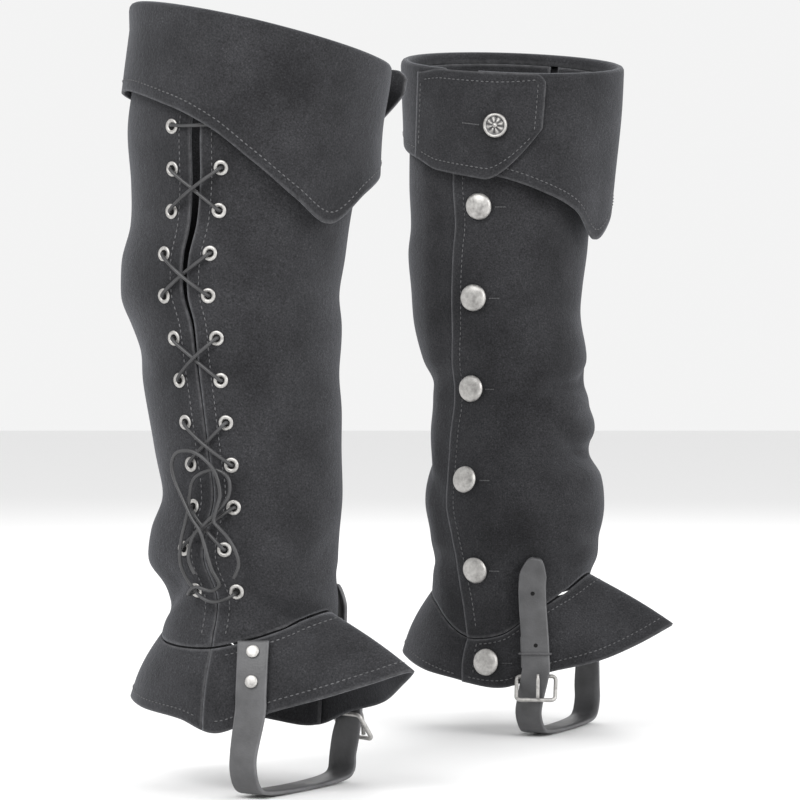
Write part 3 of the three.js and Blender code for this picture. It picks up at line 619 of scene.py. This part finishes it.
def add_stitching(cover):
    lines = []
    heights = spread(rim_height(cover, 80) - 60, -146, 150)
    for side in (-1, 1):
        lines.append([leg_point(cover, cover["slit"] + side * degrees_for(
            cover, z, slit_half_gap(z) + 8), z, 0.15) for z in heights])
    placket = [z for z in spread(cuff_hem(cover, 265, "z") + 8, -168, 160)]
    lines.append([leg_point(cover, placket_edge(cover, z) + degrees_for(cover, z, 8), z, 0.15)
                  for z in placket])
    edge = placket_edge(cover, seam_height(placket_edge(cover, -160)))
    lines.append([foot_point(cover, angle, 0.86, 0.15) for angle in spread(edge - 357, 80, 150)])
    lines.append([foot_point(cover, angle, 0.86, 0.15) for angle in spread(88, edge - 4, 120)])
    lines.append([foot_point(cover, edge + 8, down, 0.15) for down in spread(0.06, 0.84, 20)])
    lines.append([foot_point(cover, angle, 0.12, 0.15) for angle in spread(edge - 352, 76, 120)])
    hem = []
    for angle in spread(-84, 249, 260):
        top = rim_height(cover, angle) - 5
        low = cuff_hem(cover, angle, "z")
        z = mix(top, low, 1 - 7 / (top - low))
        hem.append(plain_leg(cover, angle, z, cuff_out(cover, angle, z) + 0.15))
    lines.append(hem)
    end = cover["tab_end"]
    lines.append([tab_point(cover, angle, 0.9, 0.15) for angle in spread(TAB_START + 4, end - 4, 50)])
    lines.append([tab_point(cover, end - 4, down, 0.15) for down in spread(0.88, 0.1, 30)])
    lines.append([tab_point(cover, angle, 0.09, 0.15) for angle in spread(end - 4, TAB_START + 4, 50)])
    lines.append([tab_point(cover, TAB_START + 3, down, 0.15) for down in spread(0.1, 0.9, 30)])
    stitches(f"{cover['name']}_stitching", lines)


def lathe(name, at, face, profile, sides, material, nodes=(), hollow=None, ridges=None):
    turn = Vector((0, 0, 1)).rotation_difference(face).to_matrix()
    points, worn = [], []
    for radius, height in profile:
        for i in range(sides):
            angle = 2 * math.pi * i / sides
            lift = ridges(angle, radius) if ridges else 0
            spot = (radius * math.cos(angle), radius * math.sin(angle), height + lift)
            points.append(at + turn @ Vector(spot))
            worn.append(hollow(angle, radius) if hollow else 0.0)
    faces = [(k * sides + i, k * sides + (i + 1) % sides,
              (k + 1) * sides + (i + 1) % sides, (k + 1) * sides + i)
             for k in range(len(profile) - 1) for i in range(sides)]
    faces.append(tuple(range(sides - 1, -1, -1)))
    faces.append(tuple((len(profile) - 1) * sides + i for i in range(sides)))
    return add_piece(name, points, faces, material, nodes, worn)


def dome_profile(radius, rise):
    rows = [(radius * 0.8, 0), (radius * 0.97, 0.2), (radius, 0.8), (radius * 0.98, 1.3)]
    return rows + [(radius * math.cos(t) * 0.96, 1.3 + (rise - 1.3) * math.sin(t))
                   for t in spread(0.15, math.pi / 2 - 0.02, 9)]


def add_buttons(cover):
    name = cover["name"]
    slits = []
    for i in range(BUTTON_COUNT):
        z = BUTTON_TOP - i * BUTTON_PITCH
        angle = placket_edge(cover, max(z, -175)) + BUTTON_FROM_EDGE - 360
        face = facing(cover, angle, z)
        lift = (BUTTON_RADIUS * 0.86) ** 2 / 96 + 1.5
        lathe(f"{name}_button_{i + 1}_dome", on_cover(cover, angle, z, lift), face,
              dome_profile(BUTTON_RADIUS, BUTTON_RISE), 48, PEWTER, (f"{name}_button_{i + 1}",))
        slits.append([on_cover(cover, angle + turn, z - 0.5, 0.2) for turn in spread(9, 17, 8)])
    up = tab_point(cover, TAB_BUTTON, 0.45, 0) - tab_point(cover, TAB_BUTTON, 0.55, 0)
    around = tab_point(cover, TAB_BUTTON + 1, 0.5, 0) - tab_point(cover, TAB_BUTTON - 1, 0.5, 0)
    face = (around.cross(up) * -cover["outward"]).normalized()
    at = tab_point(cover, TAB_BUTTON, 0.5, 0) + face * 0.9
    radius = BUTTON_RADIUS * 0.9
    rings = [(radius * 0.8, 0), (radius, 0.4), (radius, 2.2), (radius * 0.94, 3.0), (radius * 0.82, 3.0),
             (radius * 0.76, 1.9), (radius * 0.6, 2.2), (radius * 0.45, 2.9), (radius * 0.3, 3.1),
             (radius * 0.22, 2.5), (radius * 0.14, 3.4), (0.05, 3.7)]
    petals = lambda turn, r: 0.5 * math.cos(8 * turn) if 0.25 * radius < r < 0.7 * radius else 0.0
    dark = lambda turn, r: 0.9 if 0.7 * radius < r < 0.79 * radius or 0.2 * radius < r < 0.24 * radius else (
        0.5 - 0.5 * math.cos(8 * turn) if 0.25 * radius < r < 0.7 * radius else 0.0)
    lathe(f"{name}_cuff_button_face", at, face, rings, 96, PEWTER, (f"{name}_cuff_button",),
          dark, petals)
    slits.append([tab_point(cover, TAB_BUTTON - turn, 0.5, 0.2) for turn in spread(8, 18, 8)])
    stitches(f"{name}_buttonholes", slits, pitch=1.1, length=1.0, radius=0.5)


def eyelet_ring(at, face, ring, bar):
    """Points and faces of one rolled ring, a little flattened."""
    turn = Vector((0, 0, 1)).rotation_difference(face).to_matrix()
    around, section = 28, 10
    points = []
    for i in range(around):
        a = 2 * math.pi * i / around
        for j in range(section):
            b = 2 * math.pi * j / section
            r = ring + bar * math.cos(b)
            points.append(at + turn @ Vector((r * math.cos(a), r * math.sin(a), bar * 0.55 * math.sin(b))))
    faces = [(i * section + j, ((i + 1) % around) * section + j,
              ((i + 1) % around) * section + (j + 1) % section, i * section + (j + 1) % section)
             for i in range(around) for j in range(section)]
    return points, faces


def add_eyelets(cover):
    points, faces, hole_points, hole_faces = [], [], [], []
    for row in range(EYELET_ROWS):
        z = eyelet_height(row)
        for side in (-1, 1):
            angle = cover["slit"] + side * degrees_for(cover, z, slit_half_gap(z) + EYELET_FROM_EDGE)
            face = facing(cover, angle, z)
            ring, quads = eyelet_ring(leg_point(cover, angle, z, 0.3), face, EYELET_RING, EYELET_BAR)
            faces += [tuple(len(points) + v for v in quad) for quad in quads]
            points += ring
            turn = Vector((0, 0, 1)).rotation_difference(face).to_matrix()
            # A near-black disc inside each eyelet ring: painted shade for the hole through the cloth.
            at = leg_point(cover, angle, z, 0.12)
            start = len(hole_points)
            for height in (0.0, -0.3):
                hole_points += [at + turn @ Vector((EYELET_HOLE * math.cos(2 * math.pi * i / 20),
                                                    EYELET_HOLE * math.sin(2 * math.pi * i / 20), height))
                                for i in range(20)]
            hole_faces.append(tuple(start + i for i in range(20)))
            hole_faces.append(tuple(start + 39 - i for i in range(20)))
            hole_faces += [(start + i, start + 20 + i, start + 20 + (i + 1) % 20, start + (i + 1) % 20)
                           for i in range(20)]
    add_piece(f"{cover['name']}_eyelets", points, faces, PEWTER)
    # Painted shade: near-black discs where the eyelet holes go through.
    dark = hole_shade_material(f"{cover['name']}_eyelet_hole")
    add_piece(f"{cover['name']}_eyelet_holes", hole_points, hole_faces, dark, smooth_faces=False)


# ---- Lace ---------------------------------------------------------------------------------------------


def lace_point(cover, across, z, out):
    return leg_point(cover, cover["slit"] + degrees_for(cover, z, across), z, out)


def eyelet_across(z):
    return slit_half_gap(z) + EYELET_FROM_EDGE


def lace_half(cover, side, cross_out):
    top = eyelet_height(0)
    points = [lace_point(cover, side * (eyelet_across(top) - 9), top, 2.2),
              lace_point(cover, side * (eyelet_across(top) - 0.8), top + 0.8, 1.9)]
    for row in range(EYELET_ROWS):
        z = eyelet_height(row)
        across = side * eyelet_across(z)
        points.append(lace_point(cover, across, z - 1.6 if row % 2 == 0 else z + 1.6, -5))
        if row % 2 == 1 and row < EYELET_ROWS - 1:
            below = eyelet_height(row + 1)
            points.append(lace_point(cover, across - side * 0.6, z - 0.7, 2.6))
            points.append(lace_point(cover, 0, (z + below) / 2, cross_out))
            side = -side
            points.append(lace_point(cover, side * (eyelet_across(below) - 0.6), below + 0.7, 2.6))
        elif row % 2 == 1:
            points.append(lace_point(cover, across - side * 0.8, z - 0.8, 2))
    return points


def smooth_path(points, steps):
    """A Catmull-Rom curve through the points."""
    path = []
    for i in range(len(points) - 1):
        p0, p1, p2 = points[max(i - 1, 0)], points[i], points[i + 1]
        p3 = points[min(i + 2, len(points) - 1)]
        for k in range(steps):
            t = k / steps
            path.append(0.5 * (2 * p1 + (p2 - p0) * t + (2 * p0 - 5 * p1 + 4 * p2 - p3) * t * t
                               + (3 * p1 - p0 - 3 * p2 + p3) * t ** 3))
    return path + [points[-1]]


def lace_curve(name, points, node):
    curve = bpy.data.curves.new(name, "CURVE")
    curve.dimensions = "3D"
    curve.bevel_depth = LACE_RADIUS * MM
    curve.bevel_resolution = 3
    curve.use_fill_caps = True
    spline = curve.splines.new("POLY")
    path = smooth_path(points, 6)
    spline.points.add(len(path) - 1)
    for target, point in zip(spline.points, path):
        target.co = (*(point * MM), 1)
    spline.use_smooth = True
    curve.materials.append(LACE_LEATHER)
    piece = bpy.data.objects.new(name, curve)
    bpy.context.collection.objects.link(piece)
    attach(piece, "root")
    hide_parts(node)
    return piece, sum((b - a).length for a, b in zip(path, path[1:])) * MM


def add_lace(cover):
    name = cover["name"]
    low = eyelet_height(EYELET_ROWS - 1) - 0.8
    across = eyelet_across(low) - 0.8
    for end, route, start in (("front", BOW_FRONT_END, -across), ("back", BOW_BACK_END, across)):
        points = [lace_point(cover, start, low, LACE_EXIT_OUT),
                  lace_point(cover, start * 0.96, low - 1, BOW_OUT[end] - 1.2)]
        points += [lace_point(cover, side, z, BOW_OUT[end]) for side, z in route]
        piece, length = lace_curve(f"{name}_bow_{end}_lace", points, f"{name}_bow_{end}")
    points = lace_half(cover, 1, 2.4)[::-1] + lace_half(cover, -1, 5.2)
    lace_curve(f"{name}_lace_held", points, f"{name}_lace")


# ---- Stirrup strap and buckle -------------------------------------------------------------------------


def band(name, rows, thickness, node):
    """A strap with rounded edges along rows of point, face and width."""
    points, worn = [], []
    count = len(rows)
    section = [(-1, -0.5, 0.8), (-0.96, -0.9, 0.4), (-0.5, -1, 0), (0.5, -1, 0), (0.96, -0.9, 0.4),
               (1, -0.5, 0.8), (1, 0.5, 0.9), (0.96, 0.85, 0.7), (0.88, 1, 0.1), (0.4, 1, 0),
               (-0.4, 1, 0), (-0.88, 1, 0.1), (-0.96, 0.85, 0.7), (-1, 0.5, 0.9)]
    for i, (point, face, width) in enumerate(rows):
        along = rows[min(i + 1, count - 1)][0] - rows[max(i - 1, 0)][0]
        across = along.cross(face).normalized() * width / 2
        lift = face.normalized() * thickness / 2
        for side, up, wear in section:
            points.append(point + across * side + lift * up)
            worn.append(wear * 0.8)
    size = len(section)
    faces = [(i * size + j, (i + 1) * size + j, (i + 1) * size + (j + 1) % size, i * size + (j + 1) % size)
             for i in range(count - 1) for j in range(size)]
    faces.append(tuple(range(size)))
    faces.append(tuple((count - 1) * size + j for j in range(size - 1, -1, -1)))
    return add_piece(name, points, faces, STRAP_LEATHER, (node,) if node else (), worn)


def finer(rows, steps=5):
    points = smooth_path([row[0] for row in rows], steps)
    faces = smooth_path([row[1] for row in rows], steps)
    widths = [w.x for w in smooth_path([Vector((row[2], 0, 0)) for row in rows], steps)]
    return list(zip(points, faces, widths))


def lying(cover, angle, high, low, count, out):
    return [(on_cover(cover, angle, z, out), facing(cover, angle, z), STRAP_WIDTH)
            for z in spread(high, low, count)]


STIRRUP_LOOP = [
    dict(forward=42, lateral=57, z=-214, face_out=1, face_up=0),
    dict(forward=42, lateral=57.5, z=-226, face_out=1, face_up=-0.2),
    dict(forward=42, lateral=53, z=-236, face_out=0.7, face_up=-0.7),
    dict(forward=42, lateral=43, z=-240, face_out=0.15, face_up=-1),
    dict(forward=42, lateral=15, z=-241.5, face_out=0, face_up=-1),
    dict(forward=42, lateral=-15, z=-241.5, face_out=0, face_up=-1),
    dict(forward=42, lateral=-43, z=-240, face_out=-0.15, face_up=-1),
    dict(forward=42, lateral=-52.5, z=-236, face_out=-0.7, face_up=-0.7),
    dict(forward=41, lateral=-56, z=-226, face_out=-1, face_up=-0.2),
    dict(forward=43, lateral=-56.5, z=-214, face_out=-1, face_up=0),
]


def add_strap(cover):
    name = cover["name"]
    over_foot = STRAP_THICK / 2 + 1.6
    base = place(cover, 0, 0, 0)
    loop = []
    for row in STIRRUP_LOOP:
        face = place(cover, 0, row["face_out"], 0) - base
        face.z = row["face_up"]
        middle = place(cover, row["forward"], row["lateral"], row["z"])
        loop.append((middle, face.normalized(), STRAP_WIDTH))
    tip = lying(cover, -STRAP_ANGLE, -196, -117, 9, STRAP_OVER_CHAPE)
    rows = finer(lying(cover, STRAP_ANGLE, -147, -190, 4, over_foot) + loop + tip)
    length = sum((b[0] - a[0]).length for a, b in zip(rows, rows[1:]))
    run = 0
    pointed = []
    for i, (point, face, width) in enumerate(rows):
        left = length - run
        width = STRAP_WIDTH * min(1, 0.3 + 0.7 * math.sqrt(max(left, 0) / 13)) if left < 13 else STRAP_WIDTH
        pointed.append((point, face, width))
        if i + 1 < len(rows):
            run += (rows[i + 1][0] - point).length
    band(f"{name}_strap_leather", pointed, STRAP_THICK, f"{name}_strap")
    # Near-black discs on the strap holes: painted shade, the dark seen through each hole.
    discs = []
    for z in STRAP_HOLE_HEIGHTS:
        discs.append((on_cover(cover, -STRAP_ANGLE, z, STRAP_OVER_CHAPE + STRAP_THICK / 2 + 0.08),
                      facing(cover, -STRAP_ANGLE, z)))
    sideways = (place(cover, 0, 1, 0) - base).normalized()
    discs.append((place(cover, 42, 57 + STRAP_THICK / 2 + 0.08, SPARE_HOLE_HEIGHT), sideways))
    dark = hole_shade_material(f"{name}_strap_hole")
    for i, (at, face) in enumerate(discs):
        disc = [(STRAP_HOLE_RADIUS, -0.25), (STRAP_HOLE_RADIUS, 0), (1.2, 0.05)]
        lathe(f"{name}_strap_hole_{i + 1}", at, face, disc, 20, dark)
    for i, z in enumerate(RIVET_HEIGHTS):
        on_strap = on_cover(cover, STRAP_ANGLE, z, over_foot + STRAP_THICK / 2 + 0.3)
        lathe(f"{name}_rivet_{i + 1}_cap", on_strap, facing(cover, STRAP_ANGLE, z),
              dome_profile(RIVET_RADIUS, RIVET_RISE), 32, PEWTER, (f"{name}_rivet_{i + 1}",))
    band(f"{name}_chape_leather", finer(lying(cover, -STRAP_ANGLE, -172, -194, 4, 3.9)), 2, f"{name}_chape")


def ring_bar(name, place_matrix, width, height, bar, material, node):
    """A rectangular wire ring with round corners and a round bar."""
    corner = 3.0
    path = []
    for sx, sy, start in ((1, 1, 0), (-1, 1, 90), (-1, -1, 180), (1, -1, 270)):
        for k in range(7):
            turn = math.radians(start + 15 * k)
            path.append(Vector((sx * (width / 2 - corner) + corner * math.cos(turn),
                                sy * (height / 2 - corner) + corner * math.sin(turn), 0)))
    count, section = len(path), 12
    points = []
    for i, p in enumerate(path):
        along = (path[(i + 1) % count] - path[i - 1]).normalized()
        side = along.cross(Vector((0, 0, 1)))
        for j in range(section):
            b = 2 * math.pi * j / section
            lift = Vector((0, 0, bar / 2 * math.sin(b)))
            points.append(place_matrix @ (p + side * bar / 2 * math.cos(b) + lift))
    faces = [(i * section + j, i * section + (j + 1) % section,
              ((i + 1) % count) * section + (j + 1) % section, ((i + 1) % count) * section + j)
             for i in range(count) for j in range(section)]
    return add_piece(name, points, faces, material, (node,))


def add_buckle(cover):
    name = cover["name"]
    face = facing(cover, -STRAP_ANGLE, -190)
    up = (Vector((0, 0, 1)) - face * face.z).normalized()
    across = up.cross(face)
    basis = Matrix((across, up, face)).transposed().to_4x4()
    at = Matrix.Translation(on_cover(cover, -STRAP_ANGLE, -200, 7.6) + Vector((0, 0, -BUCKLE_DROP)))
    tilt = Matrix.Rotation(math.radians(BUCKLE_TILT), 4, "X")
    ring_bar(f"{name}_buckle_frame_wire", at @ basis @ tilt, STRAP_WIDTH + 8, BUCKLE_HEIGHT, BUCKLE_BAR,
             PEWTER, f"{name}_buckle_frame")
    flat = Matrix((across, -face, up)).transposed().to_4x4()
    where = Matrix.Translation(on_cover(cover, -STRAP_ANGLE, -184, 5.9))
    ring_bar(f"{name}_keeper_loop", where @ flat, STRAP_WIDTH + 2.6, KEEPER_HEIGHT, KEEPER_BAR,
             STRAP_LEATHER, f"{name}_keeper")
    middle = on_cover(cover, -STRAP_ANGLE, -206, 14.4)
    slope = basis @ Matrix.Rotation(math.radians(-6), 4, "X")
    rows = []
    for k in range(9):
        s = k / 8 * PRONG_LENGTH - PRONG_LENGTH / 2
        rows.append((middle + (slope @ Vector((0, s, 0.5 * math.cos(s / 5)))), slope @ Vector((0, 0, 1)),
                     2.4 if k < 7 else 1.8))
    prong = band(f"{name}_buckle_prong_bar", [(p, f.normalized(), w) for p, f, w in rows],
                 PRONG_THICK, f"{name}_buckle_prong")
    prong.data.materials[0] = PEWTER


for cover in COVERS:
    add_lace(cover)
    add_cloth(cover)
    add_stitching(cover)
    add_buttons(cover)
    add_eyelets(cover)
    add_strap(cover)
    add_buckle(cover)

# ---- Floor, light and camera --------------------------------------------------------------------------


def flat_material(name, grey):
    material, nodes, links, shader = new_material(name)
    shader.inputs["Base Color"].default_value = (grey, grey, grey, 1)
    shader.inputs["Roughness"].default_value = 0.9
    return material


bpy.ops.mesh.primitive_plane_add(size=14, location=(0, 1.0, cad_box[0][2] - 0.0005))
floor = bpy.context.object
floor.name = "floor"
floor.data.materials.append(flat_material("pale_floor", 0.86))

world = bpy.data.worlds.new("studio")
world.use_nodes = True
world.node_tree.nodes["Background"].inputs["Color"].default_value = (1, 1, 1, 1)
world.node_tree.nodes["Background"].inputs["Strength"].default_value = 0.9
bpy.context.scene.world = world
bpy.context.scene.view_settings.view_transform = "Standard"


def area_light(name, location, aim, size, power):
    light = bpy.data.lights.new(name, "AREA")
    light.shape = "SQUARE"
    light.size = size
    light.energy = power
    lamp = bpy.data.objects.new(name, light)
    lamp.location = location
    lamp.rotation_euler = (Vector(aim) - Vector(location)).to_track_quat("-Z", "Y").to_euler()
    bpy.context.collection.objects.link(lamp)


area_light("key", (-1.1, -2.0, 1.6), (0, 0, 0), 1.2, 46)
area_light("fill", (1.9, -1.5, 0.9), (0, 0, 0), 1.4, 34)
area_light("back", (0.3, 2.1, 1.7), (0, 0, 0), 1.6, 26)

CAMERA_X, CAMERA_BACK, NEAR_COVER_Y, CAMERA_RISE = 0.0124, 2.2, -0.165, 0.041
FRAME_WIDTH, SENSOR = 0.504, 36
camera = bpy.data.objects.new("camera", bpy.data.cameras.new("camera"))
camera.location = (CAMERA_X, NEAR_COVER_Y - CAMERA_BACK, CAMERA_RISE)
camera.rotation_euler = (math.pi / 2 - math.atan2(CAMERA_RISE, CAMERA_BACK), 0, 0)
camera.data.sensor_width = SENSOR
camera.data.lens = SENSOR * CAMERA_BACK / FRAME_WIDTH
camera.data.clip_end = 50
bpy.context.collection.objects.link(camera)
bpy.context.scene.camera = camera
